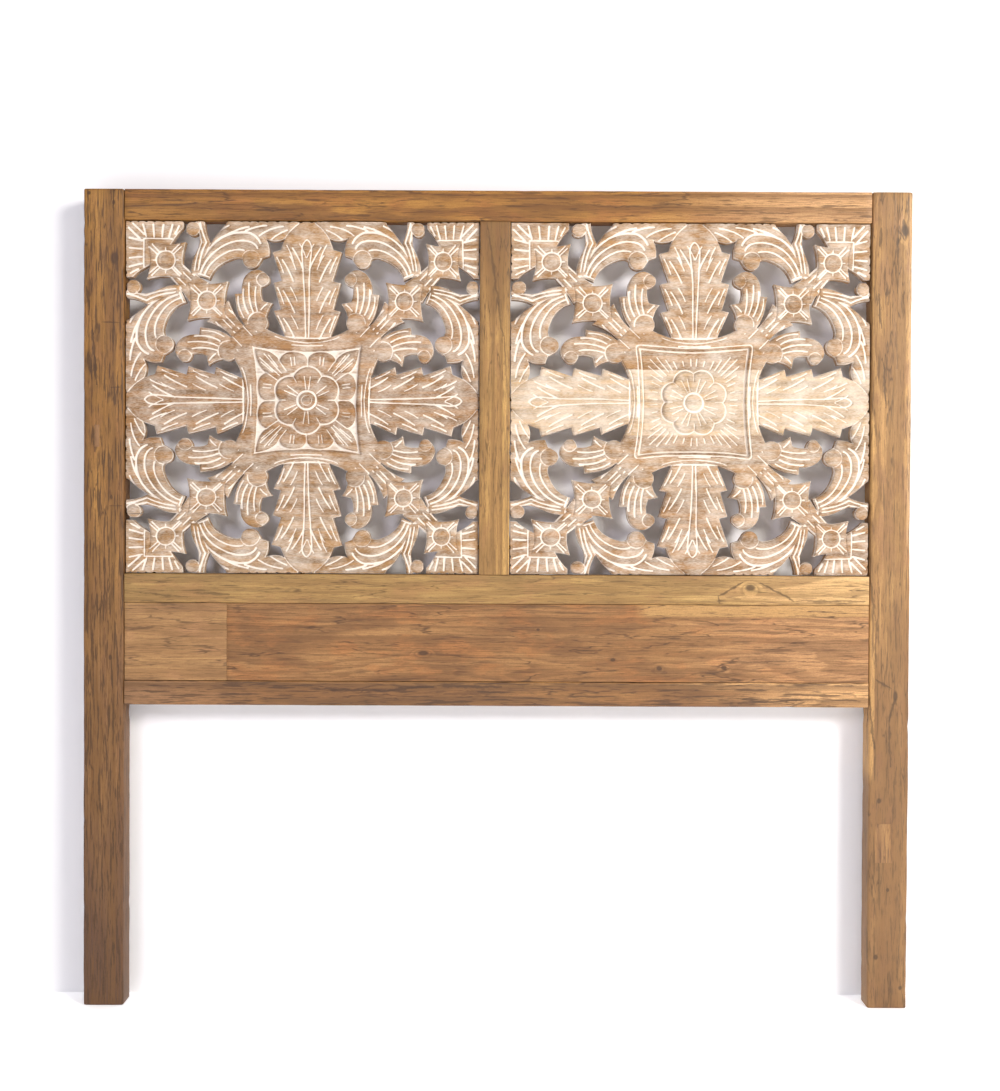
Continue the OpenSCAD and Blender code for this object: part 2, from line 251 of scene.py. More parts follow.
def teakMaterial(name, look):
    # recycled teak, planed and waxed: growth rings cut lengthwise, dark streaks, pores and old knots
    material, tree = blankMaterial(name)
    add = partial(addNode, tree)
    place = add("TexCoord", out="Object")
    axes = add("SeparateXYZ", place, out=None).outputs
    lengthwise = look["long"]
    crosswise = 2 - lengthwise
    across = add(times, add(minus, axes[crosswise], look["middle"]), 1000)  # in mm
    deep = add(times, axes[1], 1000)
    along = add(times, axes[lengthwise], 1000)

    def pattern(scaleAcross, scaleAlong, detail=2.0, seed=0.0, rough=0.5):
        # noise whose blotches are about scaleAcross mm wide and scaleAlong mm long
        where = add("CombineXYZ", add(ratio, across, scaleAcross),
                    add(plus, add(ratio, deep, scaleAcross), seed + look["seed"]),
                    add(ratio, along, scaleAlong))
        return add("TexNoise", where, 1.0, detail, rough)

    def length(a, b):
        return add("Math SQRT", add(plus, add(times, a, a), add(times, b, b)))

    # rings round the pith, which wanders along the length and bulges round each knot
    drift = add(times, add(minus, pattern(70, 420, 3, 3.1), 0.5), look["wander"])
    sideways = add(plus, add(minus, across, look["pith"][0]), drift)
    depth = add(plus, add(minus, deep, look["pith"][1]), add(times, drift, 0.4))
    radius = length(sideways, depth)
    knotDark = 0.0
    for knot in look["knots"]:
        a = add(ratio, add(minus, across, knot[0]), knot[2])
        b = add(ratio, add(minus, along, knot[1]), knot[2] * knot[3])
        gap = length(a, b)
        radius = add(plus, radius, add(ramp, gap, 0.0, 2.6, knot[4], 0.0))
        knotDark = add("Math MAXIMUM", knotDark, add(ramp, gap, 0.55, 1.15, 1.0, 0.0))
    rings = add("Math FRACT", add(ratio, radius, look["ringWidth"]))
    late = add(times, add(ramp, rings, 0.25, 0.86), add(ramp, rings, 0.9, 1.0, 1.0, 0.0))
    fibre = pattern(1.6, 90, 3, 7.7)
    tone = pattern(26, 520, 3, 1.3)
    streak = add(ramp, pattern(look["streakWidth"], look["streakWidth"] * 16, 3, 5.9, 0.6),
                 look["streakFrom"] - 0.045, look["streakFrom"] + 0.035)
    cloud = pattern(45, 170, 3, 9.4)
    pores = add(ramp, pattern(1.5, 22, 2, 11.3), 0.56, 0.68)
    marks = add(ramp, pattern(3.2, 30, 2, 15.1), 0.67, 0.7)
    # thin dark veins that wander along the grain, strong in places and gone in others
    veinGap = add("Math ABSOLUTE", add(minus, pattern(look["streakWidth"] * 4, 210, 4, 21.7), 0.5))
    veins = add(times, add(ramp, veinGap, 0.0, 0.018, 1.0, 0.0),
                add(ramp, pattern(30, 110, 2, 27.3), 0.44, 0.56))
    speckle = pattern(2.0, 3.4, 2, 33.9)

    # checks and old cracks, thin at both ends
    cracks = 0.0
    shaky = add(minus, pattern(9, 22, 3, 41.3, 0.65), 0.5)
    shaky = add(plus, across, add(times, shaky, 9.0))
    uneven = add("MapRange", pattern(6, 16, 3, 47.7), 0.3, 0.7, 0.35, 1.6)
    for startAcross, startAlong, endAcross, endAlong, halfWidth, strength in look["cracks"]:
        runAcross, runAlong = endAcross - startAcross, endAlong - startAlong
        fromStart = add(minus, shaky, startAcross)
        onward = add(minus, along, startAlong)
        share = add(plus, add(times, fromStart, runAcross), add(times, onward, runAlong))
        share = add("Clamp", add(ratio, share, runAcross ** 2 + runAlong ** 2))
        offAcross = add(minus, fromStart, add(times, share, runAcross))
        offAlong = add(minus, onward, add(times, share, runAlong))
        taper = add(times, add(times, share, add(minus, 1.0, share)), 2.6)
        gap = add(ratio, length(offAcross, offAlong), add(plus, taper, 0.35))
        gap = add(times, gap, uneven)
        line = add(ramp, gap, 0.3 * halfWidth, 1.9 * halfWidth + 0.7, strength, 0.0)
        cracks = add("Math MAXIMUM", cracks, line)

    light, base, dark, deepest = (toLinear(look[k]) for k in ("light", "base", "dark", "darkest"))
    colour = add("Mix RGBA", add(ramp, tone, 0.36, 0.64), base, light)
    flush = add(ramp, pattern(30, 75, 3, 53.1, 0.6), 0.48, 0.66, 0.0, 0.6)
    speckle = add("MapRange", speckle, 0.3, 0.7, 0.0, 0.28)
    # what lies over the ground colour, from the lowest up: where it is, how much of it, its tone
    layers = [(add(ramp, cloud, 0.42, 0.66), 0.55, dark), (flush, 1.0, toLinear(look["flush"]))]
    for start, stop, endToneAndLight, amount in look["toneAndLightDrifts"]:
        # the colour turns paler or darker towards one end; the rails' paler right ends are painted light, where the
        # light falls brighter
        ragged = add(plus, along, add(times, add(minus, tone, 0.5), 420))
        before, after = (0.0, 1.0) if start < stop else (1.0, 0.0)
        reached = add(ramp, ragged, min(start, stop), max(start, stop), before, after)
        layers.append((reached, amount, toLinear(endToneAndLight)))
    layers += [(late, look["ringDepth"], dark), (add(ramp, fibre, 0.42, 0.64), 0.45, dark)]
    fade = 40    # mm in which a band of sapwood comes and goes
    for edge, width, low, high, sapTone in look["sap"]:
        fromEdge = add("Math ABSOLUTE", add(minus, across, edge))
        fromEdge = add(plus, fromEdge, add(times, add(minus, tone, 0.5), width))
        near = add(ramp, fromEdge, width * 0.6, width, 1.0, 0.0)
        reach = add(times, add(ramp, along, low, low + fade), add(ramp, along, high - fade, high, 1.0, 0.0))
        layers.append((add(times, near, reach), 0.75, toLinear(sapTone)))
    layers += [(streak, look["streakDepth"], deepest), (pores, 0.45, deepest), (marks, 0.42, deepest),
               (veins, 0.8, deepest), (speckle, 1.0, dark), (knotDark, 0.8, deepest), (cracks, 1.0, deepest)]
    for where, share, layerTone in layers:
        colour = add("Mix RGBA", add(times, where, share), colour, layerTone)
    hollow = add(times, add(plus, pores, late), -0.35)
    hollow = add(plus, add(times, fibre, 0.5), hollow)
    hollow = add(minus, hollow, add(times, add("Math MAXIMUM", cracks, knotDark), 0.8))
    bump = add("Bump", Strength=0.55, Distance=0.5 * mm, Height=hollow)
    shine = add(ramp, fibre, 0.3, 0.8, 0.5, 0.68)
    wood = add("BsdfPrincipled", Base_Color=colour, Roughness=shine, Normal=bump)
    add("OutputMaterial", wood, out=None)
    return material


# long: the axis it runs along; edge, endEdge: how far these are rounded; wear: how deep it is worn
# middle: where the middle of the width is, in metres; all else in mm across from there and along
# knots: across, along, radius, how many times longer than wide, bulge of the rings
# toneAndLightDrifts: from where, to where, tone, share, with painted light in the rails' paler right ends; sap:
# across, half width, from, to, tone
# cracks: across and along of the start, across and along of the end, half width, darkness
plainTeak = {
    "long": 2, "middle": 0.0, "seed": 0.0, "pith": (20, 90), "wander": 60, "ringWidth": 7.5,
    "ringDepth": 0.65, "streakWidth": 5.0, "streakFrom": 0.6, "streakDepth": 0.7, "knots": [],
    "light": "#cb9865", "base": "#a87a4d", "dark": "#7b5837", "darkest": "#493124",
    "flush": "#a97c4c", "toneAndLightDrifts": [], "sap": [], "cracks": [],
}

timbers = {
    "leftPost": {
        "slot": "teak_brown", "long": 2, "edge": 4.0, "endEdge": 3.0, "wear": 1.6, "middle": -0.76, "seed": 1.0,
        "pith": (-14, 70), "wander": 50, "ringWidth": 8.5, "streakWidth": 4.2, "streakFrom": 0.56,
        "streakDepth": 0.84,
        "light": "#b5833c", "base": "#97692d", "dark": "#704c21", "darkest": "#422a13", "flush": "#9a6a38",
        "toneAndLightDrifts": [(1250, 620, "#654637", 0.5), (620, 100, "#482f25", 0.75)],
        "knots": [
            (21, 1446, 9, 1.5, 10), (-28, 1571, 3.5, 1.2, 2), (19, 1553, 3.5, 1.6, 3), (15, 986, 3, 1.8, 3),
            (13, 676, 3, 2, 3),
        ],
        "cracks": [
            (-3, 1323, 31, 1322, 0.8, 0.6), (14, 1197, 34, 1198, 0.8, 0.6), (12, 969, 34, 969, 0.8, 0.6),
            (-23, 1326, -13, 1202, 1.7, 0.75), (-33, 1392, -28, 1337, 1.7, 0.7),
            (-15, 1123, -17, 1074, 3.2, 0.7), (6, 1290, 2, 1190, 1.2, 0.45), (-8, 900, -4, 800, 1.6, 0.5),
            (18, 860, 12, 760, 1.4, 0.5), (-26, 760, -20, 640, 1.6, 0.5),
        ],
    },
    "rightPost": {
        "slot": "teak_golden", "long": 2, "edge": 4.5, "endEdge": 3.0, "wear": 2.0, "middle": 0.76, "seed": 2.0,
        "pith": (6, 64), "wander": 55, "ringWidth": 9.0, "streakDepth": 0.59,
        "light": "#d0a264", "base": "#b08450", "dark": "#836039", "darkest": "#4b3825", "flush": "#9b7050",
        "toneAndLightDrifts": [(860, 560, "#775333", 0.7)],
        "sap": [(-38, 11, 430, 800, "#d0a164"), (39, 9, 880, 1600, "#cfa87a")],
        "knots": [
            (24, 1506, 8, 1.5, 9), (12, 607, 5, 2.4, 6), (-18, 404, 5, 1.2, 5), (-22, 100, 5, 1.2, 5),
            (0, 231, 3.5, 1.3, 4), (26, 40, 4, 1.2, 4),
        ],
        "cracks": [
            (21, 1525, 25, 1489, 3.6, 0.7), (11, 1506, 23, 1486, 1.6, 0.7), (-22, 1510, -24, 1474, 2.2, 0.6),
            (11, 1491, 9, 1440, 1.1, 0.6), (-27, 1384, -21, 1318, 1.6, 0.65), (-6, 1388, -8, 1362, 1.4, 0.5),
            (-16, 1252, -11, 1164, 1.3, 0.7), (6, 1330, 10, 1240, 1.2, 0.4), (-39, 845, -27, 753, 1.2, 0.6),
            (-25, 756, -28, 660, 1.2, 0.55), (-28, 640, 4, 622, 0.9, 0.7), (12, 603, -1, 554, 2.2, 0.7),
            (-1, 560, 4, 470, 1.6, 0.7), (-40, 624, -28, 505, 1.7, 0.7), (14, 470, 8, 360, 1.2, 0.5),
            (-20, 330, -14, 220, 1.2, 0.5),
        ],
    },
    "topRail": {
        "slot": "teak_brown", "long": 0, "edge": 2.0, "endEdge": 0.6, "wear": 0.8, "middle": 1.55, "seed": 3.0,
        "pith": (-30, 60), "wander": 70, "ringWidth": 9.0, "streakWidth": 6.0,
        "light": "#b78339", "base": "#976628", "dark": "#6c451b", "darkest": "#462b10", "flush": "#a56a32",
        # painted light: the rail turns paler towards its right end, where the light falls brighter
        "toneAndLightDrifts": [(250, 620, "#e5b580", 0.7)],
        "cracks": [(25, -720, 21, -612, 1.0, 0.6), (6, 120, -2, 240, 1.2, 0.5), (-6, 420, -12, 560, 1.0, 0.4)],
    },
    "middleRail": {
        "slot": "teak_golden", "long": 0, "edge": 2.0, "endEdge": 0.6, "wear": 0.7, "middle": 0.81, "seed": 4.0,
        "pith": (36, 70), "wander": 42, "ringWidth": 8.0, "ringDepth": 0.52, "streakFrom": 0.64,
        "streakDepth": 0.56,
        "light": "#c9a462", "base": "#ab854c", "dark": "#806035", "darkest": "#4f391f",
        # painted light: the rail turns paler towards its right end, where the light falls brighter
        "toneAndLightDrifts": [(330, 680, "#f5c789", 0.65)],
        "knots": [(6, 490, 7, 1.6, 16)],
        "cracks": [
            (16, 475, -11, 428, 1.3, 0.75), (-11, 428, -25, 431, 1.1, 0.7), (16, 509, -20, 575, 1.4, 0.75),
            (-20, 570, -19, 712, 1.1, 0.6), (-8, -690, -17, -597, 1.2, 0.6), (-8, -587, -12, -517, 1.8, 0.6),
        ],
    },
    "bottomRail": {
        "slot": "teak_dark", "long": 0, "edge": 2.0, "endEdge": 0.6, "wear": 0.8, "middle": 0.608, "seed": 5.0,
        "pith": (-22, 60), "ringWidth": 8.5, "streakWidth": 4.5, "streakFrom": 0.57, "streakDepth": 0.77,
        "light": "#b18047", "base": "#8f6338", "dark": "#684829", "darkest": "#422c1c", "flush": "#8f6235",
        # the first drift turns the left end paler; the second is painted light, paler towards the right end where
        # the light falls brighter
        "toneAndLightDrifts": [(-480, -700, "#b58b64", 0.4), (330, 620, "#f2bd7f", 0.85)],
        "cracks": [
            (9, -352, 5, -218, 1.5, 0.75), (5, -225, 16, -117, 1.5, 0.75), (16, -122, 13, 10, 1.6, 0.7),
            (2, -302, 16, -233, 1.2, 0.6), (0, -102, 3, 15, 2.2, 0.5), (-17, 468, -8, 535, 2.0, 0.65),
            (-8, 530, -10, 705, 1.9, 0.6), (-22, 569, -13, 598, 1.4, 0.6),
        ],
    },
    "centreStile": {
        "slot": "teak_golden", "long": 2, "edge": 2.0, "endEdge": 0.6, "wear": 0.7, "middle": -0.006,
        "seed": 6.0, "pith": (-34, 60), "wander": 40, "ringWidth": 7.0, "streakFrom": 0.63, "streakDepth": 0.49,
        "light": "#d2a660", "base": "#af844a", "dark": "#815f33", "darkest": "#503920",
        "toneAndLightDrifts": [(1250, 1480, "#6d4724", 0.85)],
        "cracks": [
            (-15, 1512, 15, 1300, 1.5, 0.65), (18, 1300, 24, 1190, 1.2, 0.5), (-22, 1080, -16, 960, 1.2, 0.4),
        ],
    },
    "lowerBoardShort": {
        "slot": "teak_red", "long": 0, "edge": 0.8, "endEdge": 0.8, "wear": 0.3, "middle": 0.707, "seed": 7.0,
        "pith": (50, 260), "ringWidth": 6.0, "ringDepth": 0.42, "streakFrom": 0.68, "streakDepth": 0.42,
        "light": "#c0945d", "base": "#a3794a", "dark": "#805c37", "darkest": "#543b24", "flush": "#b9885a",
    },
    "lowerBoardLong": {
        "slot": "teak_red", "long": 0, "edge": 0.8, "endEdge": 0.8, "wear": 0.3, "middle": 0.707, "seed": 8.0,
        "pith": (-12, 26), "wander": 90, "ringWidth": 11.0, "ringDepth": 0.48, "streakWidth": 7.0,
        "streakFrom": 0.63, "streakDepth": 0.49,
        "light": "#b3844f", "base": "#95693b", "dark": "#6b4726", "darkest": "#432b18", "flush": "#b97a42",
        # painted light: the board turns paler towards its right end, where the light falls brighter
        "toneAndLightDrifts": [(300, 640, "#d5a16f", 0.5)],
        "sap": [(72, 24, 260, 760, "#ca9e60")],
        "knots": [
            (-20, -142, 5, 2.4, 26), (26, 80, 3, 1.3, 4), (-32, 225, 4, 1.4, 6), (-48, 315, 5, 1.3, 8),
            (-46, 440, 5, 1.3, 8),
        ],
        "cracks": [
            (-37, 474, -32, 576, 0.8, 0.6), (-32, 572, -36, 630, 0.8, 0.5), (-52, 300, -56, 330, 3.0, 0.4),
        ],
    },
    "leftPostPlug": {
        "slot": "teak_golden", "long": 2, "edge": 0.5, "endEdge": 0.5, "wear": 0.1, "middle": -0.77,
        "seed": 9.0,
        "light": "#ac8051", "base": "#90683f",
    },
    "rightLegPatch": {
        "slot": "teak_golden", "long": 2, "edge": 0.5, "endEdge": 0.5, "wear": 0.1, "middle": 0.75,
        "seed": 10.0,
        "light": "#b38856", "base": "#966d3e",
    },
}


def nodeName(name):
    return "".join("_" + letter.lower() if letter.isupper() else letter for letter in name)


def clearBox(name):
    # the box of a timber without the tenons and tongues that its neighbours hide
    low, high = (Vector(c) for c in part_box(nodeName(name)))
    inner = (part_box("left_post")[1].x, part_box("right_post")[0].x)
    if "Rail" in name or "lower" in name:
        low.x, high.x = max(low.x, inner[0]), min(high.x, inner[1])
    if "lower" in name:
        low.z, high.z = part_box("bottom_rail")[1].z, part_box("middle_rail")[0].z
    if name == "centreStile":
        low.z, high.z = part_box("middle_rail")[1].z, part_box("top_rail")[0].z
    return low, high


saw = {
    "length": 7.0,           # mm between the rows of points along a timber
    "smoothBelow": 35,       # degrees between faces
    "touching": 1e-6,
    "hollowLength": 160,     # mm from one soft hollow to the next
    "rubLength": 34,         # the same for the rubbing of the edges
    "nickLength": 15,        # and for the nicks in them
    "nickFrom": 0.38,        # more makes nicks rarer
    "nickDepth": 3.2,        # times the wear
    "edgeFrom": 0.8,         # share of the half width beyond which it counts as edge
}


def sawTimber(name):
    timber = timbers[name]
    low, high = clearBox(name)
    deselectAll()
    bpy.ops.mesh.primitive_cube_add(size=1, location=(low + high) / 2, scale=high - low)
    piece = bpy.context.object
    piece.name = name
    bpy.ops.object.transform_apply(location=True, rotation=True, scale=True)
    mesh = piece.data
    along = timber["long"]
    wide = 2 - along
    # round the long edges, then the ends
    for edgeSize, lengthwise in ((timber["edge"], True), (timber["endEdge"], False)):
        for edge in mesh.edges:
            a, b = (mesh.vertices[i].co for i in edge.vertices)
            runs = abs(a[along] - b[along]) > 0.5 * (high - low)[along]
            atEnd = min(abs(a[along] - end[along]) for end in (low, high)) < saw["touching"]
            level = abs(a[along] - b[along]) < saw["touching"]
            edge.select = runs if lengthwise else (atEnd and not runs and level)
        unselect(mesh.vertices, mesh.polygons)
        enterEdit("EDGE")
        bpy.ops.mesh.bevel(offset=edgeSize * mm, segments=3 if lengthwise else 2, affect="EDGES")
        leaveEdit()
    # cut it into short lengths, so that it can be worn unevenly
    cuts = max(6, int((high - low)[along] / (saw["length"] * mm)))
    unselect(mesh.vertices, mesh.polygons)
    for edge in mesh.edges:
        a, b = (mesh.vertices[i].co for i in edge.vertices)
        edge.select = abs(a[along] - b[along]) > 0.5 * (high - low)[along]
    enterEdit("EDGE")
    bpy.ops.mesh.subdivide(number_cuts=cuts)
    bpy.ops.mesh.select_all(action="SELECT")
    for share in (0.25, 0.5, 0.75):
        cutPlace = low + (high - low) * share
        normal = Vector((1, 0, 0)) if wide == 0 else Vector((0, 0, 1))
        bpy.ops.mesh.bisect(plane_co=cutPlace, plane_no=normal)
        bpy.ops.mesh.select_all(action="SELECT")
    leaveEdit()
    wearTimber(piece, low, high, timber)
    keepOnly(piece)
    bpy.ops.object.shade_smooth_by_angle(angle=math.radians(saw["smoothBelow"]))
    mesh.materials.append(teakMaterial(name + " teak", {**plainTeak, **timber}))
    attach(piece, "root")
    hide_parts(nodeName(name))
    return piece


def wearTimber(piece, low, high, timber):
    # long soft hollows in the faces, and edges that are rubbed and nicked, always inwards
    points = readPoints(piece.data)
    middle = np.array((low + high) / 2)
    half = np.array((high - low) / 2)
    along = timber["long"]
    sides = [axis for axis in range(3) if axis != along]
    seed = timber["seed"] * 17.3
    away = (points - middle) / half
    for i, point in enumerate(points):
        where = point[along] / mm
        corner = min(abs(away[i][sides[0]]), abs(away[i][sides[1]]))
        for axis in sides:
            side = 1 if away[i][axis] > 0 else -1
            if abs(away[i][axis]) < saw["edgeFrom"]:
                continue
            spot = Vector((where / saw["hollowLength"], seed + axis * 5 + side, point[sides[0]] / (40 * mm)))
            dent = timber["wear"] * 0.35 * (1 + noise.noise(spot))
            if corner > saw["edgeFrom"]:
                rub = noise.noise(Vector((where / saw["rubLength"], seed + axis + side * 3, side * 1.7)))
                spot = Vector((where / saw["nickLength"], seed * 2 + side, axis * 2.1 + side))
                nick = max(0.0, noise.noise(spot) - saw["nickFrom"])
                dent += timber["wear"] * (0.35 * (1 + rub) + saw["nickDepth"] * nick)
            point[axis] -= side * dent * mm
    writePoints(piece.data, points)


for name in timbers:
    sawTimber(name)
print("timbers sawn")


# One eighth of the pattern in mm from the middle of the square; the rest is its mirror image.
# A corner is (u, v), a bend is (pull u, pull v, u, v).
outlines = {
    "fan": [(342.5, 342.5), (236, 342.5), (237, 331), (248, 321, 256, 306), (262, 296), (296, 262), (306, 256),
            (321, 248, 331, 237), (342.5, 236)],
    "neck": [(190, 226), (220, 246), (238, 262), (262, 238), (246, 220), (226, 190)],
    "arm": [(100, 128), (122, 144.5), (141, 160, 152, 192), (192, 152), (160, 141, 144.5, 122), (128, 100)],
    "plate": [(0, 0), (0, 117.5), (45, 119, 80, 139), (96, 152), (122, 144.5), (144.5, 122), (152, 96),
              (139, 80), (119, 45, 117.5, 0)],
    "innerPlate": [(0, 0), (0, 96), (55, 97, 104, 104), (97, 55, 96, 0)],
    "petals": [(0, 0), (0, 77), (3, 95, 27, 95), (50, 95, 54, 77), (64, 97, 100, 100), (97, 64, 77, 54),
               (95, 50, 95, 27), (95, 3, 77, 0)],
    "bud": [(118, 142), (133, 160, 137, 182), (141, 205), (127, 206), (130, 240, 108, 250), (90, 258, 74, 238),
            (76, 220, 90, 219), (92, 203, 86, 192), (67, 188), (77, 178, 80, 158), (86, 148)],
    "scroll": [(214, 242), (189, 232), (180, 264, 141, 274), (126, 277, 122, 266), (108, 256), (92, 262, 88, 274),
               (74, 279), (72, 298, 80, 311), (62, 302, 43, 311), (30, 330, 12, 342.5), (151, 342.5),
               (172, 325, 185, 304), (203, 275, 214, 242)],
    "hook": [(203, 243), (198, 280, 186, 303), (196, 322, 197, 342.5), (216, 342.5), (207, 328, 207, 314),
             (205, 303, 211, 290), (222, 268, 223, 252), (222, 243)],
    "leaf": [(0, 105), (44.5, 118), (45, 128), (65, 174), (51, 177), (66, 227), (50, 231), (68, 286), (51.5, 290),
             (48, 300, 44, 309), (33, 330, 10.5, 342.5), (0, 342.5)],
}
for name, c, h in (("cornerFlower", 268.5, 36), ("innerFlower", 191.5, 38.5)):
    outlines[name] = [(c - h, c + h), (c, c + h - 12, c + h, c + h), (c + h - 12, c, c + h, c - h),
                      (c, c - h + 12, c - h, c - h), (c - h + 12, c, c - h, c + h)]

# height of the edge and of the crown above the back, and how far in the crown is reached
swells = {
    "fan": (18.8, 21.8, 9), "neck": (18.8, 21.5, 8), "arm": (18.8, 22, 9), "leaf": (18.6, 21.4, 7),
    "plate": (19.2, 22.6, 7), "petals": (18.2, 21.6, 5), "bud": (18.8, 22.8, 8), "scroll": (18.6, 23, 10),
    "hook": (18.8, 22.6, 7), "cornerFlower": (18.8, 22.6, 6), "innerFlower": (18.8, 22.6, 6),
}
domes = {
    "bud": [(94.5, 150, 18.5, 23.2), (85, 233, 11.5, 23.6)], "scroll": [(108.6, 271, 16.5, 23.8)],
    "hook": [(219, 329, 13, 23.4)], "cornerFlower": [(268.5, 268.5, 16, 23.7)],
    "innerFlower": [(191.5, 191.5, 16, 23.7)],
}
# gouge strokes: depth, half width, then the line
strokes = {
    "scroll": [
        (1.9, 2.6, [(209, 252), (199, 290, 165, 312), (140, 326, 112, 322), (96, 316, 90, 302)]),
        (1.7, 2.4, [(203, 247), (192, 282, 158, 299), (132, 312, 108, 304), (98, 299, 96, 292)]),
        (1.5, 2.2, [(197, 240), (186, 272, 152, 286), (136, 292, 122, 288)]),
        (1.6, 2.4, [(186, 312), (172, 326, 150, 335)]), (1.6, 2.4, [(154, 318), (138, 328, 112, 333)]),
        (1.6, 2.4, [(118, 326), (98, 334, 78, 335)]), (1.4, 2.2, [(92, 316), (74, 330, 46, 333)]),
        (1.4, 2.0, [(74, 306), (58, 318, 38, 326)]), (1.3, 2.2, [(216, 247), (190, 237)]),
    ],
    "hook": [(1.6, 2.2, [(208, 250), (204, 285, 193, 304), (201, 322, 204, 340)]),
             (1.4, 2.0, [(215, 250), (211, 282, 202, 304), (205, 318, 210, 336)])],
    "bud": [(1.7, 2.3, [(113, 166), (126, 188, 123, 214)]), (1.6, 2.2, [(104, 170), (115, 194, 112, 226)]),
            (1.5, 2.1, [(96, 172), (103, 196, 99, 218)]), (1.4, 2.1, [(89, 174), (84, 181, 77, 186)]),
            (1.3, 2.0, [(121, 158), (134, 178, 133, 200)])],
    "leaf": [(1.9, 1.9, [(2.8, 124), (5, 215), (6.5, 262, 9.5, 284), (10, 303, 0, 308)]),
             (1.7, 2.2, [(0, 122), (44, 123)])],
    "fan": [(1.7, 2.4, [(305, 313), (311, 336)]), (1.7, 2.4, [(290, 313), (292, 336)]),
            (1.7, 2.4, [(275, 313), (273, 336)]), (1.6, 2.4, [(262, 313), (256, 336)]),
            (1.5, 2.2, [(252, 319), (244, 334)]), (1.7, 2.4, [(309, 317), (330, 338)]),
            (1.7, 2.4, [(317, 309), (338, 330)]), (1.2, 2.2, [(240, 309), (309, 309)])],
    "arm": [(1.5, 2.1, [(104, 128), (124, 148)]), (1.5, 2.1, [(112, 120), (132, 140)]),
            (1.4, 2.1, [(128, 152), (150, 174)]), (1.4, 2.1, [(138, 144), (160, 166)])],
    "neck": [(1.5, 2.1, [(222, 232), (242, 252)]), (1.5, 2.1, [(216, 240), (236, 258)])],
    "plate": [(1.5, 1.8, [(0, 107), (30, 108)]), (1.3, 1.6, [(0, 112.5), (46, 115, 62, 124)]),
              (1.3, 1.8, [(96, 132), (112, 148)]), (1.3, 1.8, [(104, 124), (122, 142)])],
    "petals": [(1.7, 1.8, [(24, 70), (25, 85)]), (1.7, 1.8, [(30, 68), (32, 84)]), (1.6, 2.0, [(0, 62), (0, 84)]),
               (1.6, 2.0, [(40, 58), (55, 79)]), (1.7, 1.9, [(49, 53), (82, 90)]), (1.5, 1.8, [(56, 66), (74, 88)])],
}
for tipU, tipV in ((65, 174), (66, 227), (68, 286), (48, 308)):
    strokes["leaf"] += [(1.9, 2.0, [(tipU - 20, tipV - 15), (tipU - 33, tipV - 34, tipU - 42, tipV - 56)]),
                        (1.5, 1.8, [(tipU - 9, tipV - 10), (tipU - 16, tipV - 22, tipU - 22, tipV - 40)]),
                        (1.3, 1.7, [(tipU - 34, tipV - 8), (tipU - 42, tipV - 20, tipU - 47, tipV - 34)])]
for name, c in (("cornerFlower", 268.5), ("innerFlower", 191.5)):
    strokes[name] = []
    for su, sv in ((1, 1), (-1, 1), (-1, -1)):
        strokes[name] += [(1.5, 1.9, [(c + 15 * su, c + 12 * sv), (c + 29 * su, c + 26 * sv)]),
                          (1.5, 1.9, [(c + 11 * su, c + 15 * sv), (c + 25 * su, c + 30 * sv)])]
    strokes[name] += [(1.2, 1.8, [(c, c + 19), (c, c + 24)]), (1.2, 1.8, [(c - 19, c), (c - 24, c)])]

raster = {"edge": 342.5, "out": 352.0, "step": 0.5}


def bendPath(points):
    path = [points[0]]
    for point in points[1:]:
        if len(point) == 2:
            path.append(point)
            continue
        start = path[-1]
        for t in (np.arange(7) + 1) / 7:
            path.append(tuple((1 - t) ** 2 * start[i] + 2 * t * (1 - t) * point[i] + t * t * point[i + 2]
                              for i in (0, 1)))
    return [tuple(raster["out"] if c > raster["edge"] - 0.1 else c for c in p) for p in path]


def distanceTo(points, pad, closed):
    # the block of the raster round a line, how far each cell is from the line, and whether it is inside
    path = np.array(bendPath(points), float)
    low = np.clip(((path.min(0) - pad) / raster["step"]).astype(int), 0, None)
    high = ((path.max(0) + pad) / raster["step"]).astype(int) + 1
    block = (slice(low[1], high[1]), slice(low[0], high[0]))
    u, v = gridU[block], gridV[block]
    nearest = np.full(u.shape, 1e6)
    inside = np.zeros(u.shape, bool)
    nexts = np.roll(path, -1, 0) if closed else path[1:]
    for a, b in zip(path, nexts):
        du, dv = b - a
        onBorder = closed and any(a[i] == b[i] and a[i] in (0, raster["out"]) for i in (0, 1))
        if not onBorder:
            t = np.clip(((u - a[0]) * du + (v - a[1]) * dv) / (du * du + dv * dv + 1e-9), 0, 1)
            nearest = np.minimum(nearest, (u - a[0] - t * du) ** 2 + (v - a[1] - t * dv) ** 2)
        if closed and dv != 0:
            inside ^= ((a[1] > v) != (b[1] > v)) & (u < du * (v - a[1]) / dv + a[0])
    return block, np.sqrt(nearest), inside


def blur(field, width):
    # soft average over a few mm, with the pattern mirrored at its borders
    reach = max(1, int(2.2 * width / raster["step"]))
    weights = np.exp(-0.5 * (np.arange(-reach, reach + 1) * raster["step"] / width) ** 2)
    weights /= weights.sum()
    for axis in (0, 1):
        padded = np.pad(field, [(reach, reach) if i == axis else (0, 0) for i in (0, 1)], mode="reflect")
        size = field.shape[axis]
        field = sum(w * np.take(padded, range(k, k + size), axis) for k, w in enumerate(weights))
    return field


cells = int(raster["out"] / raster["step"]) + 1
ticks = np.arange(cells) * raster["step"]
gridU, gridV = np.meshgrid(ticks, ticks)


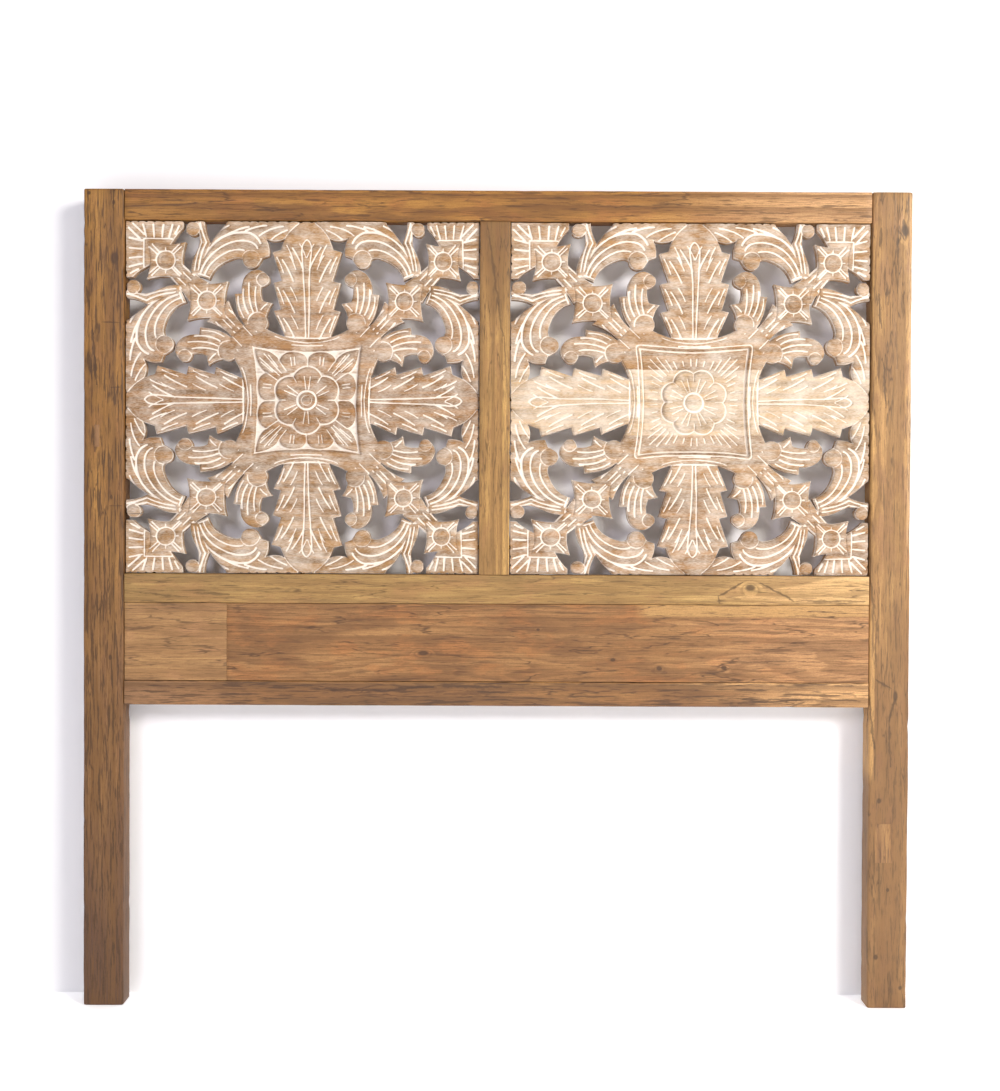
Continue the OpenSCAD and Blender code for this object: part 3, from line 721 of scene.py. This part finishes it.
# the flower in the middle: lobes, where the first one points, their rim and how far they stand out;
# spokes in the lobes, then cuts on the ground round it, each (degrees, from, to); all in mm and degrees
flowers = {
    "left": {"lobes": 6, "turn": 90, "rim": 52, "stand": 13, "spokes": (30, 90), "ground": [], "buttonRing": 1.2},
    "right": {"lobes": 8, "turn": 67.5, "rim": 53, "stand": 10, "spokes": (22.5, 67.5), "buttonRing": 0.0,
              "ground": [(45, 74, 118), (51, 76, 112), (57, 74, 98), (64, 72, 88), (75, 72, 82), (86, 70, 84)]},
}


# heights of the relief from the back in mm, before the stretch that deepens it
relief = {"ground": 17.5, "dish": 17.2, "flowerGround": 19.0, "top": 24, "stretch": 1.45, "buttonRadius": 16}


def gougeCut(away, half, depth):
    return depth * np.clip(1 - (away / half) ** 2, 0, 1)


def radialCut(degrees, start, stop, depth, groove):
    # one straight cut that points away from the middle
    turn = math.radians(degrees)
    line = [(abs(r * math.cos(turn)), r * math.sin(turn)) for r in (start, stop)]
    block, away, _ = distanceTo(line, 3, False)
    groove[block] = np.maximum(groove[block], gougeCut(away, 2, depth))


def carvePattern(side):
    flower = flowers[side]
    reach = np.full(gridU.shape, -20.0)    # how far inside the wood, negative in the piercings
    height = np.full(gridU.shape, relief["ground"])
    cut = np.zeros(gridU.shape)

    def addShape(name, over):
        block, distance, inside = distanceTo(outlines[name], 8, True)
        signed = np.where(inside, distance, -distance)
        rim, crown, width = swells[name]
        rise = np.clip(signed / width, 0, 1)
        swell = rim + (crown - rim) * np.sqrt(1 - (1 - rise) ** 2)
        groove = np.zeros(signed.shape)
        for depth, half, line in strokes.get(name, []):
            half = half * 1.2
            cutBlock, away, _ = distanceTo(line, half + 1, False)
            local = np.zeros(gridU.shape)
            local[cutBlock] = gougeCut(away, half, depth)
            groove = np.maximum(groove, local[block])
        for u, v, radius, top in domes.get(name, []):
            away = np.hypot(gridU[block] - u, gridV[block] - v)
            dome = top - 2.6 * (1 - np.sqrt(np.clip(1 - (away / radius) ** 2, 0, 1)))
            onDome = away < radius
            swell = np.where(onDome, dome, swell)
            sharp = 1.0 if "Flower" in name else 0.45
            ring = gougeCut(away - radius - 1.2, 2.6, 2.1 * sharp)
            dimple = gougeCut(away - radius * 0.62, 1.5, 0.9 * (sharp == 1.0))
            groove = np.where(onDome, dimple, np.maximum(groove, ring))
            signed = np.maximum(signed, radius - away)
        level = swell - groove
        better = (signed > 0) & ((level > height[block]) | over | (reach[block] < 0))
        height[block] = np.where(better, level, height[block])
        cut[block] = np.where(better, groove, cut[block])
        reach[block] = np.maximum(reach[block], signed)

    for name in ("fan", "neck", "arm", "leaf"):
        addShape(name, False)
    addShape("plate", True)
    for name in ("bud", "scroll", "hook"):
        addShape(name, False)
    for name in ("cornerFlower", "innerFlower"):
        addShape(name, True)

    # the dish inside the band, and the flower in it
    block, distance, inside = distanceTo(outlines["innerPlate"], 8, True)
    lip = np.clip(distance / 5, 0, 1)
    dish = relief["dish"]
    height[block] = np.where(inside, dish, dish + (height[block] - dish) * np.sqrt(lip))
    cut[block] = np.where(inside, 0.9, cut[block])
    radius = np.hypot(gridU, gridV)
    angle = np.arctan2(gridV, gridU)
    if flower["ground"]:
        # plain ground with cuts that spread to the corners
        groove = np.zeros(gridU.shape)
        for degrees, start, stop in flower["ground"]:
            radialCut(degrees, start, stop, 1.6, groove)
        lines = np.maximum(gougeCut(distance, 2.6, 1.8), gougeCut(distance - 7.5, 2.2, 1.6) * ~inside)
        height[block] = np.where(inside, relief["flowerGround"] - groove[block], height[block]) - lines
        cut[block] = np.maximum(np.where(inside, groove[block], cut[block]), lines)
    else:
        block, distance, inside = distanceTo(outlines["petals"], 8, True)
        groove = np.zeros(gridU.shape)
        for depth, half, line in strokes["petals"]:
            cutBlock, away, _ = distanceTo(line, half + 1, False)
            groove[cutBlock] = np.maximum(groove[cutBlock], gougeCut(away, half, depth))
        groove = np.maximum(groove, groove.T)
        rim, crown, width = swells["petals"]
        level = rim + (crown - rim) * np.clip(distance / width, 0, 1) ** 0.5
        level = level - 2.4 * (1 - smoothStep(radius[block], 60, 90)) - groove[block]
        height[block] = np.where(inside, level, height[block])
        cut[block] = np.where(inside, groove[block], np.maximum(cut[block], 1.5 * (distance < 3.2)))
        dusting = 0.9 * (1 - smoothStep(radius[block], 58, 74))
        cut[block] = np.where(inside, np.maximum(cut[block], dusting), cut[block])

    # everything so far is the same on both sides of the diagonal
    upper = gridV >= gridU
    height, cut, reach = (np.where(upper, field, field.T) for field in (height, cut, reach))

    # the lobed heart and its button
    turned = angle - math.radians(flower["turn"])
    lobes = flower["rim"] + flower["stand"] * np.abs(np.cos(flower["lobes"] / 2 * turned)) ** 0.8 - radius
    halo = (lobes <= 0) & (lobes > -4)
    height = np.where(halo, height - 1.2, height)
    cut = np.where(halo, np.maximum(cut, 1.6), cut)
    groove = np.zeros(gridU.shape)
    for degrees in flower["spokes"]:
        for apart in (-7, 7):
            radialCut(degrees + apart, 23, 47, 1.4, groove)
    between = 360 / flower["lobes"]
    crease = np.radians(np.abs((np.degrees(turned) % between) - between / 2)) * radius
    groove = np.maximum(groove, gougeCut(crease, 2.2, 1.2) * (radius > 40))
    level = relief["flowerGround"] + 3.6 * np.clip(lobes / 5, 0, 1) ** 0.5 - groove
    level = level - 2.6 * (1 - smoothStep(radius, 20, 54))
    height = np.where(lobes > 0, level, height)
    cut = np.where(lobes > 0, np.maximum(groove, 1.3 * (1 - smoothStep(radius, 18, 24))), cut)
    button = relief["buttonRadius"] - radius
    domed = 20.8 + 2.6 * np.sqrt(np.clip(button / relief["buttonRadius"], 0, 1))
    height = np.where(button > 0, domed, height)
    cut = np.where(button > 0, gougeCut(radius - 10, 1.4, flower["buttonRing"]), cut)
    height = height - np.where(button > 0, cut * 0.8, 0)

    # deepen the cutting from the crowns down
    height = relief["top"] - (relief["top"] - height) * relief["stretch"]

    # paint stays in hollows, in the strokes and along the arrises
    solid = np.where(reach > 0, height, 14.0)
    hollow = blur(solid, 3.0) - solid
    wash = np.maximum(smoothStep(cut, 0.3, 1.2), 0.9 * smoothStep(hollow, 0.35, 1.3))
    wash = np.maximum(wash, 0.8 * (1 - smoothStep(reach, 0.4, 2.8)))
    return reach, blur(height, 0.45), blur(wash, 0.5)


patterns = {side: carvePattern(side) for side in flowers}
print("patterns drawn")


def lookUp(field, u, v):
    x = np.clip(u / raster["step"], 0, cells - 1.001)
    y = np.clip(v / raster["step"], 0, cells - 1.001)
    i, j = x.astype(int), y.astype(int)
    fx, fy = x - i, y - j
    return ((field[j, i] * (1 - fx) + field[j, i + 1] * fx) * (1 - fy)
            + (field[j + 1, i] * (1 - fx) + field[j + 1, i + 1] * fx) * fy)


squares = {
    "left": {"seed": 11, "cracks": {4: [(-719, -628, 1.2), (-330, -290, 0.5)], 2: [(-719, -500, 0.5)],
                                    1: [(-160, -60, 0.35)]},
             "tones": [("#ad8353", 0.28), ("#ac8052", 0.28), ("#a37749", 0.24), ("#aa8155", 0.28),
                       ("#ac8252", 0.28)]},
    "right": {"seed": 23, "cracks": {1: [(480, 640, 0.8)], 2: [(40, 110, 0.4)], 3: [(620, 719, 0.4)]},
              "tones": [("#ad8252", 0.32), ("#ac8151", 0.32), ("#c8a476", 0.46), ("#af8556", 0.32),
                        ("#aa7e4f", 0.32)]},
}
# in mm, but for the angle, the share and the paint
chisel = {
    "thickness": 24, "lowest": 11,      # of the relief, from the back
    "blank": 20,                        # a board's thickness before the relief is pressed in
    "paintLine": 11.5,                  # how far from the back the paint on the sawn sides stops
    "joint": 0.06,                      # half the width of a closed joint
    "offCentre": (8.5, -5.0),           # of the flower, across and up
    "strayFar": 1.3, "strayNear": 0.5,  # how far the hand drifts, in long waves and in short ones
    "nibble": 2.9,                      # how deep the outer border is nibbled
    "smoothBelow": 42, "darkShare": 0.74, "paint": "#f4ebde",
}
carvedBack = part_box("left_carving_board_1")[1].y
cell = 1.35


def carvedMaterial(name, tone, veil, seed):
    # pale wood brushed with white lime paint and rubbed back: paint in the cuts, wood on the crowns
    material, tree = blankMaterial(name)
    add = partial(addNode, tree)
    place = add("TexCoord", out="Object")
    axes = add("SeparateXYZ", place, out=None).outputs

    def pattern(sizeX, sizeZ, detail, shift):
        where = add("CombineXYZ", add(times, axes[0], 1000 / sizeX),
                    add(plus, add(times, axes[1], 200 / sizeZ), shift + seed),
                    add(times, axes[2], 1000 / sizeZ))
        return add("TexNoise", where, 1.0, detail, 0.6)

    wash = add("Attribute", attribute_name="wash", out="Fac")
    patches = pattern(38, 24, 4, 2.0)
    grain = pattern(22, 1.5, 3, 5.0)
    bands = pattern(160, 9, 3, 8.0)
    scratches = pattern(7, 1.3, 2, 12.0)
    dark, pale = toLinear(tone["dark"]), toLinear(tone["wood"])
    wood = add("Mix RGBA", add(ramp, bands, 0.3, 0.7), dark, pale)
    wood = add("Mix RGBA", add(times, add(ramp, grain, 0.5, 0.72), 0.4), wood, dark)
    thin = add(plus, add(times, add(minus, patches, 0.5), 1.7), veil)
    thin = add(plus, thin, add(times, add(minus, scratches, 0.5), 1.2))
    thin = add(times, add("Clamp", thin), 0.7)
    worn = add(minus, wash, add(times, add(ramp, patches, 0.62, 0.35), 0.3))
    thick = add(plus, worn, add(times, add(minus, grain, 0.5), 0.6))
    thick = add(times, add(ramp, thick, 0.18, 0.75), 0.9)
    paint = add("Math MAXIMUM", thin, thick)
    colour = add("Mix RGBA", paint, wood, toLinear(tone["paint"]))
    bump = add("Bump", Strength=0.5, Distance=0.5 * mm,
               Height=add(plus, add(times, grain, -0.6), add(times, scratches, 0.6)))
    surface = add("BsdfPrincipled", Base_Color=colour, Roughness=0.78, Normal=bump)
    add("OutputMaterial", surface, out=None)
    return material


def darker(hexColour, share):
    return "#" + "".join("%02x" % int(int(hexColour[i:i + 2], 16) * share) for i in (1, 3, 5))


def carveSquare(side):
    reachField, heightField, washField = patterns[side]
    names = ["%s_carving_board_%d" % (side, i) for i in range(1, 6)]
    boxes = [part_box(name) for name in names]
    low = np.array([min(b[0].x for b in boxes), min(b[0].z for b in boxes)]) / mm
    high = np.array([max(b[1].x for b in boxes), max(b[1].z for b in boxes)]) / mm
    middle, half = (low + high) / 2, (high - low) / 2
    seed = squares[side]["seed"]
    rng = np.random.default_rng(seed)
    waves = rng.uniform(0, 6.28, 12)

    def toPattern(x, z):
        # the carver's hand: the pattern drifts a little from its mirror images
        px, pz = x - middle[0], z - middle[1]
        fade = np.clip(np.minimum(half[0] - np.abs(px), half[1] - np.abs(pz)) / 30, 0, 1)
        far, near = chisel["strayFar"], chisel["strayNear"]
        px = px + fade * (far * np.sin(px / 61 + waves[0]) * np.sin(pz / 53 + waves[1])
                          + near * np.sin(px / 19 + waves[2]) * np.sin(pz / 23 + waves[3]))
        pz = pz + fade * (far * np.sin(px / 57 + waves[4]) * np.sin(pz / 67 + waves[5])
                          + near * np.sin(px / 21 + waves[6]) * np.sin(pz / 17 + waves[7]))
        found = []
        for value, size, shift in zip((px, pz), half, chisel["offCentre"]):
            value = np.clip(value, -size, size)
            found.append((size - np.sqrt(size * size + 4 * shift * (shift - value))) / (2 * shift))
        return np.abs(found[0]) * raster["edge"], np.abs(found[1]) * raster["edge"]

    def insideWood(x, z):
        u, v = toPattern(x, z)
        # the outer border is nibbled where it meets the frame
        run = np.where(half[0] - np.abs(x - middle[0]) < half[1] - np.abs(z - middle[1]), z, x + 900)
        nibble = chisel["nibble"] * np.clip(np.sin(run / 2.9 + 2.2 * np.sin(run / 31 + waves[8])) - 0.35, 0, 1)
        nibble = nibble * np.clip(0.6 + np.sin(run / 47 + waves[9]), 0, 1) + 0.3
        border = np.minimum(half[0] - np.abs(x - middle[0]), half[1] - np.abs(z - middle[1])) - nibble
        return np.minimum(lookUp(reachField, u, v), border)

    def carve(index):
        name = names[index]
        top = boxes[index][1].z / mm
        bottom = boxes[index][0].z / mm
        across = max(8, int((high[0] - low[0]) / cell))
        tall = max(4, int((top - bottom) / cell))
        deselectAll()
        bpy.ops.mesh.primitive_grid_add(x_subdivisions=across, y_subdivisions=tall, size=1,
                                        rotation=(math.pi / 2, 0, 0))
        piece = bpy.context.object
        piece.name = side + "Carving" + str(index + 1)
        bpy.ops.object.transform_apply(location=True, rotation=True, scale=True)
        mesh = piece.data
        points = readPoints(mesh)
        x = low[0] + (points[:, 0] + 0.5) * (high[0] - low[0])
        z = bottom + (points[:, 2] + 0.5) * (top - bottom)
        points = np.stack([x, np.zeros(len(x)), z], 1)
        onCut = np.zeros(len(x), bool)
        if index > 0:
            onCut |= z > top - 1e-3
        if index < 4:
            onCut |= z < bottom + 1e-3
        # saw out the piercings
        corners = np.zeros(len(mesh.loops), int)
        mesh.loops.foreach_get("vertex_index", corners)
        centres = points[corners.reshape(-1, 4)].mean(1)
        outside = insideWood(centres[:, 0], centres[:, 2]) < 0
        unselect(mesh.vertices, mesh.edges)
        mesh.polygons.foreach_set("select", outside)
        writePoints(mesh, points * mm)
        writeValues(mesh, "onCut", onCut, "BOOLEAN")
        enterEdit("FACE")
        bpy.ops.mesh.delete(type="FACE")
        bpy.ops.mesh.select_mode(type="EDGE")
        bpy.ops.mesh.select_non_manifold(extend=False, use_wire=False, use_boundary=True,
                                         use_multi_face=False, use_non_contiguous=False, use_verts=False)
        leaveEdit()
        # draw the sawn edge onto the outline
        points = readPoints(mesh) / mm
        x, z = points[:, 0].copy(), points[:, 2].copy()
        onCut = readValues(mesh, "onCut", bool)
        chosen = np.zeros(len(x), bool)
        mesh.vertices.foreach_get("select", chosen)
        rim = np.flatnonzero(chosen)
        startX, startZ = x[rim].copy(), z[rim].copy()
        near = np.abs(insideWood(startX, startZ)) < cell * 1.3
        for _ in range(4):
            gap = insideWood(x[rim], z[rim])
            slopeX = insideWood(x[rim] + 0.4, z[rim]) - insideWood(x[rim] - 0.4, z[rim])
            slopeZ = np.where(onCut[rim], 0, insideWood(x[rim], z[rim] + 0.4) - insideWood(x[rim], z[rim] - 0.4))
            steep = (slopeX ** 2 + slopeZ ** 2) / 0.64 + 0.15
            x[rim] -= np.where(near, gap * slopeX / 0.8 / steep, 0)
            z[rim] -= np.where(near, gap * slopeZ / 0.8 / steep, 0)
            x[rim] = startX + np.clip(x[rim] - startX, -cell, cell)
            z[rim] = startZ + np.clip(z[rim] - startZ, -cell, cell)
        z = np.clip(z, bottom, top)
        u, v = toPattern(x, z)
        gouge = (0.22 * np.sin(x / 3.1 + 2 * np.sin(z / 9 + waves[10])) * np.sin(z / 2.7 + 2 * np.sin(x / 11))
                 + 0.3 * np.sin(x / 13 + waves[11]) * np.sin(z / 11 + waves[0]))
        height = np.clip(lookUp(heightField, u, v) + gouge, chisel["lowest"], chisel["thickness"])
        # the joints between the boards are closed but for a few cracks
        opening = np.full(len(x), chisel["joint"])
        for joint, places in squares[side]["cracks"].items():
            edgeZ = top if joint == index else bottom
            if joint in (index, index + 1):
                for start, stop, wide in places:
                    along = np.clip((x - start) / (stop - start), 0, 1)
                    wedge = wide * np.sin(np.pi * along) ** 0.5
                    opening = np.where(np.abs(z - edgeZ) < 1e-3, np.maximum(opening, wedge / 2), opening)
        z = np.where(onCut & (z > top - 1e-3), z - opening, np.where(onCut, z + opening, z))
        writePoints(mesh, np.stack([x * mm, np.full(len(x), carvedBack), z * mm], 1))
        writeValues(mesh, "wash", lookUp(washField, u, v))
        writeValues(mesh, "rise", height)
        # give the board its thickness, and press the relief into its face
        enterEdit("FACE", True)
        bpy.ops.mesh.extrude_region_move(TRANSFORM_OT_translate={"value": (0, -chisel["blank"] * mm, 0)})
        leaveEdit()
        points = readPoints(mesh)
        front = points[:, 1] < carvedBack - chisel["blank"] / 2 * mm
        height = readValues(mesh, "rise")
        points[front, 1] = carvedBack - height[front] * mm
        writePoints(mesh, points)
        # a line round the sawn sides where the paint stops
        enterEdit("FACE", True)
        bpy.ops.mesh.bisect(plane_co=(0, carvedBack - chisel["paintLine"] * mm, 0), plane_no=(0, 1, 0))
        leaveEdit()
        paint = readValues(mesh, "wash")
        paint[readPoints(mesh)[:, 1] > carvedBack - (chisel["paintLine"] + 0.5) * mm] = 0
        writeValues(mesh, "wash", paint)
        enterEdit("FACE", True)
        bpy.ops.mesh.normals_make_consistent(inside=False)
        leaveEdit()
        for spare in ("onCut", "rise"):
            mesh.attributes.remove(mesh.attributes[spare])
        keepOnly(piece)
        bpy.ops.object.shade_smooth_by_angle(angle=math.radians(chisel["smoothBelow"]))
        wood, veil = squares[side]["tones"][index]
        tone = {"wood": wood, "dark": darker(wood, chisel["darkShare"]), "paint": chisel["paint"]}
        mesh.materials.append(carvedMaterial(piece.name + " limed wood", tone, veil, seed + index * 1.7))
        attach(piece, "root")
        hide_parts(name)
        mesh.calc_loop_triangles()
        print(piece.name, len(mesh.loop_triangles), "triangles")

    for index in range(5):
        carve(index)


for side in squares:
    carveSquare(side)
print("squares carved")


# pegs, dowels and the loose tongue keep the shape they have, in the dark teak of their slot
hidden = {
    "pegs": ["post_tenon_pegs", "stile_tenon_pegs", "left_carving_dowels", "right_carving_dowels"],
    "tongue": ["lower_board_spline"],
    "look": {"long": 0, "seed": 12.0, "pith": (4, 30), "ringWidth": 3.0, "light": "#a87b50",
             "base": "#8f6640", "dark": "#6d4c30", "darkest": "#46301f"},
}
pegTeak = teakMaterial("peg teak", {**plainTeak, **hidden["look"]})
for name in hidden["pegs"] + hidden["tongue"]:
    mesh = nodes[name].data
    for i in range(max(1, len(mesh.materials))):
        if i < len(mesh.materials):
            mesh.materials[i] = pegTeak
        else:
            mesh.materials.append(pegTeak)
print("pegs and tongue coloured")
